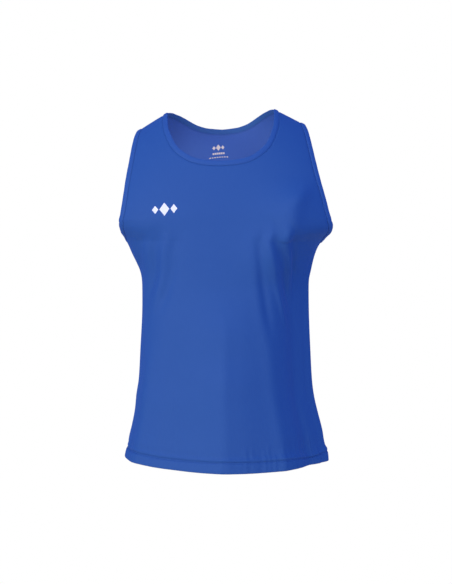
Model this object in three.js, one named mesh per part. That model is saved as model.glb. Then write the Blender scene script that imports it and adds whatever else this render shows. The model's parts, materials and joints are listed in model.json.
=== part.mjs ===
// A sleeveless boxing vest of light polyester knit, standing open in the shape that it has when worn.
// It is sewn from a front panel, a back panel, a neck band and two armhole bands. The panels meet at the
// shoulder seams and the side seams, and each panel's bottom edge is turned up and stitched as a hem.
// Millimetres. +Z is up, the front faces -Y, and +X is the wearer's left. The origin lies midway between
// the two shoulder straps, at the height where the wearer's shoulders carry the middle of each strap.
import * as THREE from "three";

// ---------------------------------------------------------------- driving dimensions

const CLOTH = 1.6; // wall of the panels
const BAND_CLOTH = 2.2; // the bands are folded double
const BAND_WIDTH = 10;
const SEAM_GAP = 0.3;
const HEM_DEPTH = 18; // from the bottom edge up to the hem stitching
const HEM_STEP = 0.6; // how far the turned-up hem stands proud of the panel
const HEM_EASE = 2; // height of the slope between the panel and the proud hem

const CHEST_LEVEL = -200; // below this the body hangs, above it the shoulder arch starts
const UNDERARM_LEVEL = -240; // top of the side seams
const HEM_LEVEL = -655.5; // bottom edge at the side seams
const HEM_DROP = 13.5; // how much lower the bottom edge is at centre front and centre back
const HEM_ROUNDING = 1.5; // power of that curve
const HEM_TILT = 0.012; // the bottom edge is a little lower on the wearer's left, by this slope
const HEM_CORNER = { drop: 5, start: 0.4, full: 0.95 }; // and drops more there, between these turns

const NECK_SIDE = 112.5; // from the centre to the neck seam at the shoulder
const ARM_SIDE = 154.5; // from the centre to the armhole seam at the shoulder
const SHOULDER = { x: 109, z: 13.9, slope: 0.62, round: 60 }; // its line passes through x, z by the neck
// The upper part leans towards the wearer's right. outer, lift: how much further the armholes, at a
// distance of reach from the centre, lean and tilt than the neck does.
const LEAN = { slope: 0.036, tilt: 0.024, start: -225, full: -110, reach: 150, outer: 1.8, lift: 1.8 };

// Sections of the body from the hem up. half: half width; shift: how far the middle lies towards the
// wearer's left; front and back: depth from the seam plane; square: 2 is an ellipse and more is boxier.
const SECTIONS = [
  { z: -655.5, half: 197.5, shift: 2, front: 127, back: 121, square: 2.2 },
  { z: -643, half: 195.5, shift: 3, front: 125.5, back: 119, square: 2.2 },
  { z: -636, half: 193.1, shift: 3.8, front: 124.5, back: 118, square: 2.2 },
  { z: -621, half: 190, shift: 1.8, front: 123, back: 116, square: 2.2 },
  { z: -597, half: 185.1, shift: 2.6, front: 121, back: 114, square: 2.25 },
  { z: -566, half: 178, shift: 1.6, front: 119, back: 111, square: 2.3 },
  { z: -535, half: 172.7, shift: -0.5, front: 117.5, back: 109, square: 2.35 },
  { z: -504, half: 168.3, shift: -0.3, front: 116.5, back: 107, square: 2.35 },
  { z: -441, half: 164.8, shift: -0.3, front: 115, back: 105, square: 2.4 },
  { z: -379, half: 162, shift: 0, front: 114.5, back: 105, square: 2.4 },
  { z: -332, half: 161.5, shift: -0.2, front: 115, back: 107, square: 2.4 },
  { z: -309, half: 162.4, shift: -0.4, front: 116, back: 109, square: 2.4 },
  { z: -293, half: 166, shift: -0.6, front: 116.5, back: 110, square: 2.4 },
  { z: -277, half: 171.3, shift: -2.4, front: 117, back: 111, square: 2.4 },
  { z: -262, half: 177, shift: -4, front: 117, back: 112, square: 2.45 },
  { z: -248, half: 182.8, shift: -4.2, front: 117, back: 112.5, square: 2.5 },
  { z: -240, half: 187.6, shift: -3.4, front: 117, back: 112.5, square: 2.5 },
  { z: -232, half: 194.5, shift: -0.8, front: 117, back: 113, square: 2.6 },
  { z: -224, half: 205.8, shift: 1.6, front: 117, back: 113, square: 2.6 },
  { z: -212, half: 218.6, shift: 1.5, front: 117, back: 113, square: 2.6 },
  { z: -200, half: 225, shift: 0, front: 117, back: 113, square: 2.6 },
];
const SHOULDER_HALF = 200; // half width of the arch's top section, beyond the armholes

// The armhole seams between the underarm and the shoulder seam. turn: place across the panel, 0 at its
// centre line and 1 at the side seam.
const FRONT_ARMHOLE = [
  { turn: 0.9, z: -238 },
  { turn: 0.8, z: -232.5 },
  { turn: 0.7, z: -224 },
  { turn: 0.63, z: -213 },
  { turn: 0.585, z: -199 },
  { turn: 0.556, z: -173 },
  { turn: 0.537, z: -143 },
  { turn: 0.528, z: -113 },
  { turn: 0.525, z: -82 },
  { turn: 0.525, z: -50 },
  { turn: 0.522, z: -31 },
];
const BACK_ARMHOLE = [
  { turn: 0.9, z: -238 },
  { turn: 0.8, z: -233 },
  { turn: 0.7, z: -225.5 },
  { turn: 0.62, z: -214 },
  { turn: 0.57, z: -197 },
  { turn: 0.535, z: -173 },
  { turn: 0.514, z: -143 },
  { turn: 0.501, z: -113 },
  { turn: 0.496, z: -82 },
  { turn: 0.497, z: -50 },
  { turn: 0.501, z: -31 },
];

// The neck seams from the centre line to the shoulder seam. x: distance from the centre.
const FRONT_NECK = [
  { x: 0, z: -100 },
  { x: 23, z: -98.8 },
  { x: 45, z: -95 },
  { x: 66, z: -86.5 },
  { x: 85, z: -72 },
  { x: 97, z: -56 },
  { x: 105.5, z: -36 },
  { x: 111, z: -15 },
];
const BACK_NECK = [
  { x: 0, z: -15.5 },
  { x: 25, z: -13.5 },
  { x: 42, z: -10.3 },
  { x: 59, z: -4.2 },
  { x: 75, z: 4.4 },
  { x: 89, z: 11.4 },
  { x: 101, z: 14.7 },
];

// The largest folds. topTurn and endTurn: place across the panel, -1 at the wearer's right side seam;
// topZ and endZ: height; bow: how far the middle of the fold swings towards the wearer's left;
// width: half width; height: positive for a ridge and negative for a trough; open: runs out through the hem.
const FRONT_FOLDS = [
  { topTurn: 0.64, topZ: -205, endTurn: 0.69, endZ: -670, bow: 0, width: 56, height: -26, open: true },
  { topTurn: 0.42, topZ: -110, endTurn: 0.37, endZ: -330, bow: -0.08, width: 36, height: 11, open: false },
  { topTurn: 0.48, topZ: -125, endTurn: 0.44, endZ: -270, bow: -0.12, width: 15, height: 6, open: false },
  { topTurn: 0.16, topZ: -205, endTurn: 0.37, endZ: -670, bow: 0.05, width: 14, height: 3, open: true },
  { topTurn: 0, topZ: -320, endTurn: -0.01, endZ: -670, bow: 0, width: 50, height: 12, open: true },
  { topTurn: 0, topZ: -450, endTurn: -0.01, endZ: -670, bow: 0, width: 45, height: 5, open: true },
  { topTurn: 0.74, topZ: -520, endTurn: 0.8, endZ: -670, bow: 0, width: 16, height: 2.5, open: true },
  { topTurn: -0.25, topZ: -205, endTurn: -0.53, endZ: -390, bow: 0, width: 11, height: -4, open: false },
  { topTurn: -0.3, topZ: -212, endTurn: -0.6, endZ: -380, bow: 0, width: 10, height: 2.5, open: false },
  { topTurn: -0.34, topZ: -200, endTurn: -0.7, endZ: -368, bow: 0, width: 11, height: -4.5, open: false },
  { topTurn: -0.44, topZ: -215, endTurn: -0.84, endZ: -305, bow: 0, width: 11, height: -3, open: false },
  { topTurn: -0.35, topZ: -380, endTurn: -0.32, endZ: -670, bow: 0, width: 20, height: -3, open: true },
  { topTurn: -0.6, topZ: -420, endTurn: -0.66, endZ: -670, bow: 0, width: 20, height: 4, open: true },
];
const BACK_FOLDS = [
  { topTurn: -0.2, topZ: -262, endTurn: -0.34, endZ: -670, bow: 0.03, width: 22, height: -6.5, open: true },
  { topTurn: 0.26, topZ: -248, endTurn: 0.31, endZ: -670, bow: 0.02, width: 22, height: -6, open: true },
  { topTurn: 0.02, topZ: -330, endTurn: -0.04, endZ: -670, bow: 0.01, width: 24, height: 5, open: true },
  { topTurn: 0.34, topZ: -208, endTurn: 0.8, endZ: -345, bow: 0, width: 13, height: -5, open: false },
  { topTurn: -0.36, topZ: -203, endTurn: -0.78, endZ: -360, bow: 0, width: 13, height: -5, open: false },
  { topTurn: 0.62, topZ: -400, endTurn: 0.6, endZ: -670, bow: 0, width: 20, height: 5, open: true },
  { topTurn: -0.64, topZ: -430, endTurn: -0.62, endZ: -670, bow: 0, width: 20, height: 4.5, open: true },
  { topTurn: -0.45, topZ: -215, endTurn: -0.82, endZ: -300, bow: 0, width: 12, height: -4, open: false },
];
const FOLD_FADE = 0.3; // share of a fold's length over which it rises or dies away
const SEAM_STILL = 0.88; // folds die away between this turn and the side seam
const GIRTH_SHARE = 0.79; // a quarter of a section's girth, as a share of its half width plus its depth

// How finely the panels are divided.
const HALF_COLUMNS = 20; // from the centre line to a side seam
const BODY_ROWS = 15; // from the hem up to the underarms

// What differs between the panels. roll: roundness of the arch over the shoulders; chestRows: rows of
// the grid from the underarms up to the row through the bottom of the neck; chestTop: where that row
// meets the armhole; strapRows: rows from there up to the shoulder seams.
const FRONT = {
  side: -1,
  depth: "front",
  roll: 1.55,
  chestRows: 8,
  chestTop: -173,
  strapRows: 16,
  neck: FRONT_NECK,
  armhole: FRONT_ARMHOLE,
  folds: FRONT_FOLDS,
};
const BACK = {
  side: 1,
  depth: "back",
  roll: 3,
  chestRows: 10,
  chestTop: -113,
  strapRows: 13,
  neck: BACK_NECK,
  armhole: BACK_ARMHOLE,
  folds: BACK_FOLDS,
};

// ---------------------------------------------------------------- small tools

const RIGHT_ANGLE = Math.PI / 2;
const NUDGE = 0.004; // step in turn and level for slopes
const FINE_STEPS = 24; // steps between two given places of a seam line
const PASSES = 12; // rounds in which a level is found
const { lerp, clamp, smoothstep } = THREE.MathUtils;

// A point of a unit curve between an ellipse (power 2) and a square.
function rounded(angle, power) {
  const across = Math.sin(angle);
  const deep = Math.cos(angle);
  const size = (Math.abs(across) ** power + Math.abs(deep) ** power) ** (1 / power);
  return { across: across / size, deep: deep / size };
}

// The angle at which rounded() gives that share across.
function angleOf(share, power) {
  const part = clamp(share, 0, 1) ** power;
  return part >= 1 ? RIGHT_ANGLE : Math.atan((part / (1 - part)) ** (1 / power));
}

function hermite(start, end, startSlope, endSlope, t) {
  const squared = t * t;
  const cubed = squared * t;
  return (
    (2 * cubed - 3 * squared + 1) * start +
    (cubed - 2 * squared + t) * startSlope +
    (3 * squared - 2 * cubed) * end +
    (cubed - squared) * endSlope
  );
}

// A column of a table, read smoothly at a height between its rows.
function readTable(rows, column, z) {
  let row = 0;
  while (row < rows.length - 2 && z > rows[row + 1].z) row += 1;
  const low = rows[row];
  const high = rows[row + 1];
  const before = rows[Math.max(row - 1, 0)];
  const after = rows[Math.min(row + 2, rows.length - 1)];
  const step = high.z - low.z;
  const lowSlope = ((high[column] - before[column]) / (high.z - before.z)) * step;
  const highSlope = ((after[column] - low[column]) / (after.z - low.z)) * step;
  return hermite(low[column], high[column], lowSlope, highSlope, clamp((z - low.z) / step, 0, 1));
}

// Places spread evenly by length along a smooth line on a panel, through the given places.
// The first and last place only steer the line's ends.
function spreadAlong(panel, places, count) {
  const fine = [];
  for (let i = 1; i < places.length - 2; i += 1) {
    for (let j = 0; j < FINE_STEPS; j += 1) fine.push(spline(places, i, j / FINE_STEPS));
  }
  fine.push(places[places.length - 2]);
  const points = fine.map(({ turn, level }) => smoothForm(panel, turn, level));
  const lengths = [0];
  for (let i = 1; i < fine.length; i += 1) {
    lengths.push(lengths[i - 1] + points[i].distanceTo(points[i - 1]));
  }
  const total = lengths[lengths.length - 1];
  let at = 0;
  return Array.from({ length: count + 1 }, (_, i) => {
    const wanted = (total * i) / count;
    while (at < lengths.length - 2 && lengths[at + 1] < wanted) at += 1;
    const t = clamp((wanted - lengths[at]) / (lengths[at + 1] - lengths[at]), 0, 1);
    return {
      turn: lerp(fine[at].turn, fine[at + 1].turn, t),
      level: lerp(fine[at].level, fine[at + 1].level, t),
    };
  });
}

function spline(places, i, t) {
  const [before, start, end, after] = places.slice(i - 1, i + 3);
  const slope = (from, to, key) => (to[key] - from[key]) / 2;
  const part = (key) => hermite(start[key], end[key], slope(before, end, key), slope(start, after, key), t);
  return { turn: part("turn"), level: part("level") };
}

// ---------------------------------------------------------------- the worn form

// Height of the shoulder line: it falls evenly from the neck to the arm, and is rounded at the middle.
function shoulderHeight(x) {
  const fromTop = Math.hypot(x, SHOULDER.round) - Math.hypot(SHOULDER.x, SHOULDER.round);
  return SHOULDER.z - SHOULDER.slope * fromTop;
}

// The smooth form. turn runs across a panel from -1 to 1 at the side seams. level runs from 0 at the hem
// to 1 at the chest, and on over the shoulder arch to 2 at the shoulder seam.
function smoothForm(panel, turn, level) {
  const rise = Math.max(level - 1, 0) * RIGHT_ANGLE;
  const lift = rounded(rise, panel.roll);
  const hung = lerp(HEM_LEVEL, CHEST_LEVEL, Math.min(level, 1));
  const half = lerp(readTable(SECTIONS, "half", hung), SHOULDER_HALF, Math.sin(rise) ** 2);
  const across = rounded(turn * RIGHT_ANGLE, readTable(SECTIONS, "square", hung));
  const x = half * across.across;
  const sag = HEM_DROP * Math.max(Math.cos(turn * RIGHT_ANGLE), 0) ** HEM_ROUNDING;
  const corner = HEM_CORNER.drop * smoothstep(turn, HEM_CORNER.start, HEM_CORNER.full);
  const hemDrop = (sag + HEM_TILT * x + corner) * Math.max(1 - level, 0);
  const z = level > 1 ? lerp(CHEST_LEVEL, shoulderHeight(x), lift.across) : hung - hemDrop;
  const y = panel.side * readTable(SECTIONS, panel.depth, hung) * across.deep * lift.deep;
  const leaning = smoothstep(z, LEAN.start, LEAN.full);
  const out = x / LEAN.reach;
  const leant = leaning * (LEAN.slope * (z - LEAN.start) + LEAN.outer * out ** 2);
  const lifted = leaning * (LEAN.tilt * x + LEAN.lift * out ** 3);
  return new THREE.Vector3(x + readTable(SECTIONS, "shift", hung) - leant, y, z + lifted);
}

// The outward direction of a form at a place.
function outward(form, panel, turn, level) {
  const acrossStep = form(panel, turn + NUDGE, level).sub(form(panel, turn - NUDGE, level));
  const upStep = form(panel, turn, level + NUDGE).sub(form(panel, turn, level - NUDGE));
  return acrossStep.cross(upStep).multiplyScalar(-panel.side).normalize();
}

// How far the folds move the cloth out of the smooth form.
function foldHeight(panel, turn, z) {
  const still = 1 - smoothstep(Math.abs(turn), SEAM_STILL, 1);
  const quarterGirth = GIRTH_SHARE * (readTable(SECTIONS, "half", z) + readTable(SECTIONS, panel.depth, z));
  let moved = 0;
  for (const fold of panel.folds) {
    const down = (fold.topZ - z) / (fold.topZ - fold.endZ);
    if (down <= 0 || (down >= 1 && !fold.open)) continue;
    const runOut = fold.open ? 1 : smoothstep(1 - down, 0, FOLD_FADE);
    const slant = Math.cos(Math.atan2((fold.endTurn - fold.topTurn) * quarterGirth, fold.topZ - fold.endZ));
    const middle = lerp(fold.topTurn, fold.endTurn, down) + fold.bow * Math.sin(down * Math.PI);
    const away = (turn - middle) * quarterGirth * slant;
    moved += fold.height * smoothstep(down, 0, FOLD_FADE) * runOut * Math.exp(-((away / fold.width) ** 2));
  }
  return moved * still;
}

// The worn form with its folds: the middle of the cloth's wall.
function cloth(panel, turn, level) {
  const point = smoothForm(panel, turn, level);
  const direction = outward(smoothForm, panel, turn, level);
  return point.addScaledVector(direction, foldHeight(panel, turn, point.z));
}

// The turn and level of a place, given by its x and z on the form before it leans.
function locate(panel, x, z) {
  const share = (z - CHEST_LEVEL) / (shoulderHeight(x) - CHEST_LEVEL);
  const rise = share > 0 ? angleOf(share, panel.roll) : 0;
  const hung = Math.min(z, CHEST_LEVEL);
  const half = lerp(readTable(SECTIONS, "half", hung), SHOULDER_HALF, Math.sin(rise) ** 2);
  const turn = angleOf(x / half, readTable(SECTIONS, "square", hung)) / RIGHT_ANGLE;
  const level = share > 0 ? 1 + rise / RIGHT_ANGLE : levelBelow(z);
  return { turn, level };
}

const levelBelow = (z) => (z - HEM_LEVEL) / (CHEST_LEVEL - HEM_LEVEL);

// The level at which the form has that height at that turn.
function levelAt(panel, turn, z) {
  if (z <= CHEST_LEVEL) return levelBelow(z);
  const chest = SECTIONS[SECTIONS.length - 1];
  const share = rounded(turn * RIGHT_ANGLE, chest.square).across;
  let level = 1;
  for (let pass = 0; pass < PASSES; pass += 1) {
    const half = lerp(chest.half, SHOULDER_HALF, Math.sin((level - 1) * RIGHT_ANGLE) ** 2);
    level = locate(panel, half * share, z).level;
  }
  return level;
}

const onShoulder = (panel, x) => locate(panel, x, shoulderHeight(x));
const mirrored = (place) => ({ turn: -place.turn, level: place.level });

// ---------------------------------------------------------------- seam lines

const UNDERARM = { turn: 1, level: levelBelow(UNDERARM_LEVEL) };

// The armhole seam of a panel on the wearer's left, from the underarm up to the shoulder seam.
function armholeLine(panel) {
  const listed = panel.armhole.map(({ turn, z }) => ({ turn, level: levelAt(panel, turn, z) }));
  const pastUnderarm = { turn: 2 - listed[0].turn, level: listed[0].level };
  const last = listed[listed.length - 1];
  const overShoulder = { turn: last.turn, level: 4 - last.level };
  const shoulder = onShoulder(panel, ARM_SIDE);
  const places = [pastUnderarm, UNDERARM, ...listed, shoulder, overShoulder];
  const split = listed.findIndex((_, i) => panel.armhole[i].z >= panel.chestTop) + 1;
  return [
    ...spreadAlong(panel, places.slice(0, split + 3), panel.chestRows).slice(0, -1),
    ...spreadAlong(panel, places.slice(split), panel.strapRows),
  ];
}

// The neck seam of a panel on the wearer's left, from the centre line up to the shoulder seam.
function neckLine(panel) {
  const listed = panel.neck.map(({ x, z }) => locate(panel, x, z));
  const last = listed[listed.length - 1];
  const overShoulder = { turn: last.turn, level: 4 - last.level };
  const shoulder = onShoulder(panel, NECK_SIDE);
  return spreadAlong(panel, [mirrored(listed[1]), ...listed, shoulder, overShoulder], panel.strapRows);
}

// ---------------------------------------------------------------- solids

function meshOf(name, points, triangles, material) {
  const geometry = new THREE.BufferGeometry();
  geometry.setAttribute("position", new THREE.Float32BufferAttribute(points.flatMap((p) => p.toArray()), 3));
  geometry.setIndex(triangles.flat());
  const mesh = new THREE.Mesh(geometry, material);
  mesh.name = name;
  return mesh;
}

// A closed wall from a sheet of four-sided cells, with the rim that closes it.
function wallTriangles(cells, count) {
  const triangles = [];
  const edges = new Set();
  for (const cell of cells) {
    const [a, b, c, d] = cell;
    triangles.push([a, b, c], [a, c, d]);
    triangles.push([c + count, b + count, a + count], [d + count, c + count, a + count]);
    cell.forEach((corner, i) => edges.add(`${corner} ${cell[(i + 1) % cell.length]}`));
  }
  for (const edge of edges) {
    const [from, to] = edge.split(" ").map(Number);
    if (edges.has(`${to} ${from}`)) continue;
    triangles.push([to, from, from + count], [to, from + count, to + count]);
  }
  return triangles;
}

// The places of a panel's grid. Its rows run from the wearer's right to the left: whole rows from the
// hem up to the bottom of the neck, then shorter rows across each strap up to the shoulder seams.
function panelGrid(panel) {
  const neck = neckLine(panel);
  const armhole = armholeLine(panel);
  const hemTop = levelBelow(HEM_LEVEL + HEM_DEPTH);
  const plainTop = levelBelow(HEM_LEVEL + HEM_DEPTH + HEM_EASE);
  const places = [];
  const register = (row) => row.map((place) => places.push({ ...place, hem: place.level <= hemTop }) - 1);
  const wholeRow = (middle, side) => {
    const half = spreadBetween(middle, side);
    return register([...half.slice(1).reverse().map(mirrored), ...half]);
  };
  const wholeRows = [0, hemTop].map((level) => wholeRow({ turn: 0, level }, { turn: 1, level }));
  const bent = BODY_ROWS + panel.chestRows;
  for (let row = 0; row <= bent; row += 1) {
    const z = lerp(HEM_LEVEL + HEM_DEPTH + HEM_EASE, panel.neck[0].z, row / bent);
    const level = lerp(plainTop, UNDERARM.level, row / BODY_ROWS);
    const side = row < BODY_ROWS ? { turn: 1, level } : armhole[row - BODY_ROWS];
    wholeRows.push(wholeRow(locate(panel, 0, z), side));
  }
  const top = wholeRows[wholeRows.length - 1];
  const rightStrap = [top.slice(0, HALF_COLUMNS + 1)];
  const leftStrap = [top.slice(HALF_COLUMNS)];
  for (let row = 1; row <= panel.strapRows; row += 1) {
    const strap = spreadBetween(neck[row], armhole[panel.chestRows + row]);
    leftStrap.push(register(strap));
    rightStrap.push(register(strap.map(mirrored).reverse()));
  }
  const cells = [wholeRows, leftStrap, rightStrap].flatMap((rows) => cellsOf(rows, panel));
  return { places, cells, neck, armhole };
}

function spreadBetween(from, to) {
  return Array.from({ length: HALF_COLUMNS + 1 }, (_, i) => ({
    turn: lerp(from.turn, to.turn, i / HALF_COLUMNS),
    level: lerp(from.level, to.level, i / HALF_COLUMNS),
  }));
}

function cellsOf(rows, panel) {
  const cells = [];
  for (let row = 0; row + 1 < rows.length; row += 1) {
    for (let i = 0; i + 1 < rows[row].length; i += 1) {
      const cell = [rows[row][i], rows[row][i + 1], rows[row + 1][i + 1], rows[row + 1][i]];
      cells.push(panel.side < 0 ? cell : cell.reverse());
    }
  }
  return cells;
}

function panelMesh(name, panel, material) {
  const { places, cells } = panel.grid;
  const apart = new THREE.Vector3(0, (panel.side * SEAM_GAP) / 2, 0);
  const outer = [];
  const inner = [];
  for (const { turn, level, hem } of places) {
    const point = cloth(panel, turn, level).add(apart);
    const direction = outward(cloth, panel, turn, level);
    outer.push(point.clone().addScaledVector(direction, CLOTH / 2 + (hem ? HEM_STEP : 0)));
    inner.push(point.clone().addScaledVector(direction, -CLOTH / 2 - (hem ? HEM_STEP : 0)));
  }
  return meshOf(name, [...outer, ...inner], wallTriangles(cells, places.length), material);
}

// A folded band sewn along a closed seam line and reaching into the opening. Each station of the line
// has a point on the cloth and the cloth's outward direction. Seen from outside the garment, the line
// runs with the opening on its left.
function bandMesh(name, stations, material) {
  const half = BAND_CLOTH / 2;
  const section = [
    { reach: SEAM_GAP, out: half },
    { reach: SEAM_GAP, out: -half },
    { reach: BAND_WIDTH - half, out: -half },
    { reach: BAND_WIDTH, out: -half / 2 },
    { reach: BAND_WIDTH, out: half / 2 },
    { reach: BAND_WIDTH - half, out: half },
  ];
  const count = stations.length;
  const points = [];
  stations.forEach(({ point, direction }, i) => {
    const ahead = stations[(i + 1) % count].point;
    const behind = stations[(i + count - 1) % count].point;
    const inwards = direction.clone().cross(ahead.clone().sub(behind)).normalize();
    for (const { reach, out } of section) {
      points.push(point.clone().addScaledVector(inwards, reach).addScaledVector(direction, out));
    }
  });
  const sides = section.length;
  const triangles = [];
  for (let i = 0; i < count; i += 1) {
    const here = i * sides;
    const next = ((i + 1) % count) * sides;
    for (let j = 0; j < sides; j += 1) {
      const k = (j + 1) % sides;
      triangles.push([here + j, here + k, next + k], [here + j, next + k, next + j]);
    }
  }
  return meshOf(name, points, triangles, material);
}

const stationsOn = (panel, line) =>
  line.map(({ turn, level }) => ({
    point: cloth(panel, turn, level),
    direction: outward(cloth, panel, turn, level),
  }));

// ---------------------------------------------------------------- the garment

FRONT.grid = panelGrid(FRONT);
BACK.grid = panelGrid(BACK);

const knit = new THREE.MeshStandardMaterial({ color: 0x3562b2, roughness: 0.72, metalness: 0 });
const bandKnit = new THREE.MeshStandardMaterial({ color: 0x3864b4, roughness: 0.7, metalness: 0 });

// One loop along the front's seam line and back along the back's, without their shared ends twice.
const loopOf = (frontLine, backLine) => [
  ...stationsOn(FRONT, frontLine),
  ...stationsOn(BACK, backLine).slice(1, -1).reverse(),
];
const acrossNeck = (panel) => [...panel.grid.neck.slice(1).reverse().map(mirrored), ...panel.grid.neck];
const downArmhole = (panel) => panel.grid.armhole.slice().reverse();
const upRightArmhole = (panel) => panel.grid.armhole.map(mirrored);

const vest = new THREE.Group();
vest.add(
  panelMesh("front_panel", FRONT, knit),
  panelMesh("back_panel", BACK, knit),
  bandMesh("neck_band", loopOf(acrossNeck(FRONT), acrossNeck(BACK)), bandKnit),
  bandMesh("armhole_band_left", loopOf(downArmhole(FRONT), downArmhole(BACK)), bandKnit),
  bandMesh("armhole_band_right", loopOf(upRightArmhole(FRONT), upRightArmhole(BACK)), bandKnit),
);

export default vest;
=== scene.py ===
"""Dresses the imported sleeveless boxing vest: folded knit panels, bands, hem stitching and prints."""

import json
import logging
import math
from collections.abc import Callable
from dataclasses import dataclass, field
from enum import Enum

import bpy
import numpy as np
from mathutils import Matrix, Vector
from mathutils.kdtree import KDTree

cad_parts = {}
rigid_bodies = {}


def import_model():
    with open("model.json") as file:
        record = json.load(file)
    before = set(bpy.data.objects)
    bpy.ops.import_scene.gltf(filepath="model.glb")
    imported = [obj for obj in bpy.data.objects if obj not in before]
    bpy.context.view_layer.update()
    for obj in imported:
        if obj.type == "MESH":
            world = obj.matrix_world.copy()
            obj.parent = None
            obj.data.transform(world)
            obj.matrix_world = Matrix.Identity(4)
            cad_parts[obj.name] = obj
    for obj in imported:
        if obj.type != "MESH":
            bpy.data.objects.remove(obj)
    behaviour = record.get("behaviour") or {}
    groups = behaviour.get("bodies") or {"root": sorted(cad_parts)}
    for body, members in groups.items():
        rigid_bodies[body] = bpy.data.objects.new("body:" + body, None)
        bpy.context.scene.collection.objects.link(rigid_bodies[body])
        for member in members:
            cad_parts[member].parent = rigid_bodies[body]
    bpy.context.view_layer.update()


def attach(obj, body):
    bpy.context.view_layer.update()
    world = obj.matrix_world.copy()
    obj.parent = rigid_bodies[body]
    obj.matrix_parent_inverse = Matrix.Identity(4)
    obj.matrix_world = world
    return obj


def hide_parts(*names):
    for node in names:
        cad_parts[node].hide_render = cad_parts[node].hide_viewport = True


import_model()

BODY = "root"
MM = 0.001  # the vest is worked out in millimetres and made in metres
LOG = logging.getLogger("vest")

Array = np.ndarray
Shape = Callable[[Array, Array], Array]

# ---------------------------------------------------------------- driving dimensions, in millimetres

CLOTH = 1.0  # thickness of the shown knit
HEM_DEPTH = 18.0  # from the bottom edge up to the hem stitching
HEM_LAYER = 0.75  # how far each of the hem's two layers lies from the middle of the cloth
HEM_JOIN = (HEM_DEPTH - 1.0, HEM_DEPTH + 3.0)  # between these the outer layer comes in to the middle
CHEST_LEVEL = -200.0  # below this the body hangs, above it the shoulder arch starts
UNDERARM_LEVEL = -240.0
HEM_LEVEL = -655.5
BODY_HEIGHT = CHEST_LEVEL - HEM_LEVEL
HEM_DROP = 13.5  # how much lower the bottom edge is at centre front and centre back
HEM_ROUNDING = 1.5  # power of that curve
HEM_TILT = 0.012  # the bottom edge is a little lower on the wearer's left, by this slope
NECK_SIDE = 112.5  # from the centre to the neck seam at the shoulder
ARM_SIDE = 154.5  # from the centre to the armhole seam at the shoulder
SHOULDER_HALF = 200.0  # half width of the arch's top section, beyond the armholes
BAND_WIDTH = 10.0


@dataclass(frozen=True)
class HemCorner:
    """How the bottom edge drops further at the wearer's left side seam, between two turns."""

    drop: float = 5.0
    start: float = 0.4
    full: float = 0.95


@dataclass(frozen=True)
class Pull:
    """How the cloth stands out near the hem stitching: a bell about a place above the bottom edge."""

    height: float
    place: float
    width: float


@dataclass(frozen=True)
class ShoulderLine:
    """The line along the tops of the shoulders, which falls evenly and is rounded at the middle."""

    x: float = 109.0
    z: float = 13.9
    slope: float = 0.62
    rounding: float = 60.0

    def height(self, x: Array) -> Array:
        """Returns the height of the line at a distance from the centre."""
        from_top = np.hypot(x, self.rounding) - math.hypot(self.x, self.rounding)
        return self.z - self.slope * from_top


@dataclass(frozen=True)
class Lean:
    """How the upper part leans towards the wearer's right."""

    slope: float = 0.036
    tilt: float = 0.024
    start: float = -225.0
    full: float = -110.0
    reach: float = 150.0  # distance of the armholes from the centre
    outer: float = 1.8  # how much further the armholes lean than the neck
    lift: float = 1.8  # how much more the armholes tilt than the neck


@dataclass(frozen=True)
class Section:
    """A level section of the body: its half width, its shift to the wearer's left, and its two depths.

    square is 2 for an ellipse, and more for a boxier section.
    """

    z: float
    half: float
    shift: float
    front: float
    back: float
    square: float


@dataclass(frozen=True)
class SeamPlace:
    """A place of an armhole seam. turn is 0 at the panel's centre line and 1 at its side seam."""

    turn: float
    z: float


@dataclass(frozen=True)
class NeckPlace:
    """A place of a neck seam, by its distance from the centre and its height."""

    x: float
    z: float


@dataclass(frozen=True)
class Fold:
    """A soft ridge, or a trough where height is negative, between two places of a panel.

    bow is how far its middle swings towards the wearer's left, width is its half width, and an open
    fold runs out through the hem.
    """

    top_turn: float
    top_z: float
    end_turn: float
    end_z: float
    width: float
    height: float
    bow: float = 0.0
    open: bool = False


def uneven(number: int, step: float, start: float = 0.0) -> float:
    """Returns a value from -1 to 1 that changes irregularly from one number to the next."""
    return math.sin(step * number + start)


@dataclass(frozen=True)
class Puckers:
    """A run of small upright puckers that the hem stitching draws up, a little uneven as in real sewing.

    spacing is in turn, the changes of place and height are shares, and the rest is in millimetres.
    """

    start: float
    end: float
    spacing: float
    height: float
    width: float = 2.7
    reach: float = 44.0  # from the bottom edge up to a pucker's top
    reach_change: float = 12.0
    overrun: float = 12.0  # from the bottom edge down to its end
    place_change: float = 0.22
    height_share: float = 0.75
    height_change: float = 0.35

    def folds(self) -> tuple[Fold, ...]:
        """Makes the puckers as folds that differ in place, length and height.

        Returns:
            The folds.
        """
        made = []
        for i in range(int((self.end - self.start) / self.spacing)):
            turn = self.start + (i + 0.5 + self.place_change * uneven(i, 2.4)) * self.spacing
            edge = HEM_LEVEL - HEM_DROP * math.cos(turn * RIGHT_ANGLE) ** 2
            top = edge + self.reach + self.reach_change * uneven(i, 1.9, 0.7)
            height = self.height * (self.height_share + self.height_change * uneven(i, 3.1))
            made.append(Fold(turn, top, turn, edge - self.overrun, self.width, height, open=True))
        return tuple(made)


class Side(Enum):
    """Which panel of the vest, by the direction in which it faces along Y."""

    FRONT = -1
    BACK = 1


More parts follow.
